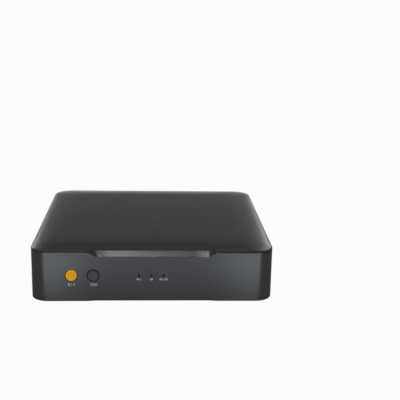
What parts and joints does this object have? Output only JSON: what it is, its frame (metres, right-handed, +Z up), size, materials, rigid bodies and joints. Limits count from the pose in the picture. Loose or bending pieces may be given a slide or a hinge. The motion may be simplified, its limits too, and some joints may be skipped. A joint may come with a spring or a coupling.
{
  "type": "network music streamer",
  "caption": "Low square desktop network music streamer with a crowned cover, push buttons and lamps in front, and digital audio, network and power sockets behind.",
  "frame": {"origin": "on the floor, under the middle of the part's box", "axes": "+Z up, front face with the buttons towards -Y, sockets towards +Y, +X to the right"},
  "size_m": [0.15, 0.1608, 0.0365],
  "materials": {
    "case_plastic": "fine satin texture",
    "base_paint": "fine matt powder coat",
    "foot_rubber": "matt",
    "orange_plastic": "satin",
    "button_plastic": "satin",
    "screw_steel": "zinc plated",
    "insert_brass": "bright",
    "switch_plastic": "moulded",
    "circuit_board": "solder mask",
    "clear_plastic": "clear moulding",
    "white_plastic": "moulded",
    "tin_sheet": "tin plated",
    "heat_pad": "soft",
    "sink_aluminium": "anodised",
    "antenna_film": "film on copper",
    "emitter_red": "clear red",
    "barrel_metal": "gold plated"
  },
  "bodies": {
    "case": {"body_shell": "case_plastic", "top_cover": "case_plastic", "base_plate": "base_paint", "rear_panel": "base_paint", "foot_front_left": "foot_rubber", "foot_front_right": "foot_rubber", "foot_rear_left": "foot_rubber", "foot_rear_right": "foot_rubber", "case_screws": "screw_steel", "rear_panel_screws": "screw_steel", "key_board_screws": "screw_steel", "main_board_screws": "screw_steel", "cover_inserts": "insert_brass", "board_standoffs": "insert_brass", "antenna_plugs": "insert_brass", "ethernet_contacts": "insert_brass", "coax_socket_contact": "insert_brass", "power_switch_body": "switch_plastic", "mode_switch_body": "switch_plastic", "interface_chips": "switch_plastic", "power_inductors": "switch_plastic", "power_inlet_tongue": "switch_plastic", "optical_socket": "switch_plastic", "coax_socket_body": "switch_plastic", "left_antenna_lead": "switch_plastic", "right_antenna_lead": "switch_plastic", "key_board": "circuit_board", "main_board": "circuit_board", "network_module": "circuit_board", "light_pipe": "clear_plastic", "status_lamps": "white_plastic", "key_board_socket": "white_plastic", "ribbon_cable": "white_plastic", "main_board_socket": "white_plastic", "usb_socket_tongue": "white_plastic", "coax_socket_insulator": "white_plastic", "shield_can": "tin_sheet", "ethernet_socket": "tin_sheet", "usb_socket_shell": "tin_sheet", "power_inlet_shell": "tin_sheet", "clock_oscillators": "tin_sheet", "thermal_pad": "heat_pad", "heat_sink": "sink_aluminium", "filter_capacitors": "sink_aluminium", "left_antenna": "antenna_film", "right_antenna": "antenna_film", "optical_emitter": "emitter_red", "coax_socket_barrel": "barrel_metal"},
    "power_key": {"power_button": "orange_plastic", "power_switch_stem": "switch_plastic"},
    "mode_key": {"mode_button": "button_plastic", "mode_switch_stem": "switch_plastic"},
    "shutter": {"optical_shutter": "switch_plastic"}
  },
  "joints": [
    {"name": "power_press", "type": "slide", "parent": "case", "child": "power_key", "axis": [0, 1, 0], "range_m": [0, 0.0006], "stiffness_N_per_m": 1500, "springref_m": -0.0004},
    {"name": "mode_press", "type": "slide", "parent": "case", "child": "mode_key", "axis": [0, 1, 0], "range_m": [0, 0.0006], "stiffness_N_per_m": 1500, "springref_m": -0.0004},
    {"name": "shutter_swing", "type": "hinge", "parent": "case", "child": "shutter", "pos_m": [-0.0242, 0.0708, 0.01885], "axis": [-1, 0, 0], "range_deg": [0, 80], "stiffness_Nm_per_rad": 0.0004, "springref_deg": -11.46}
  ]
}
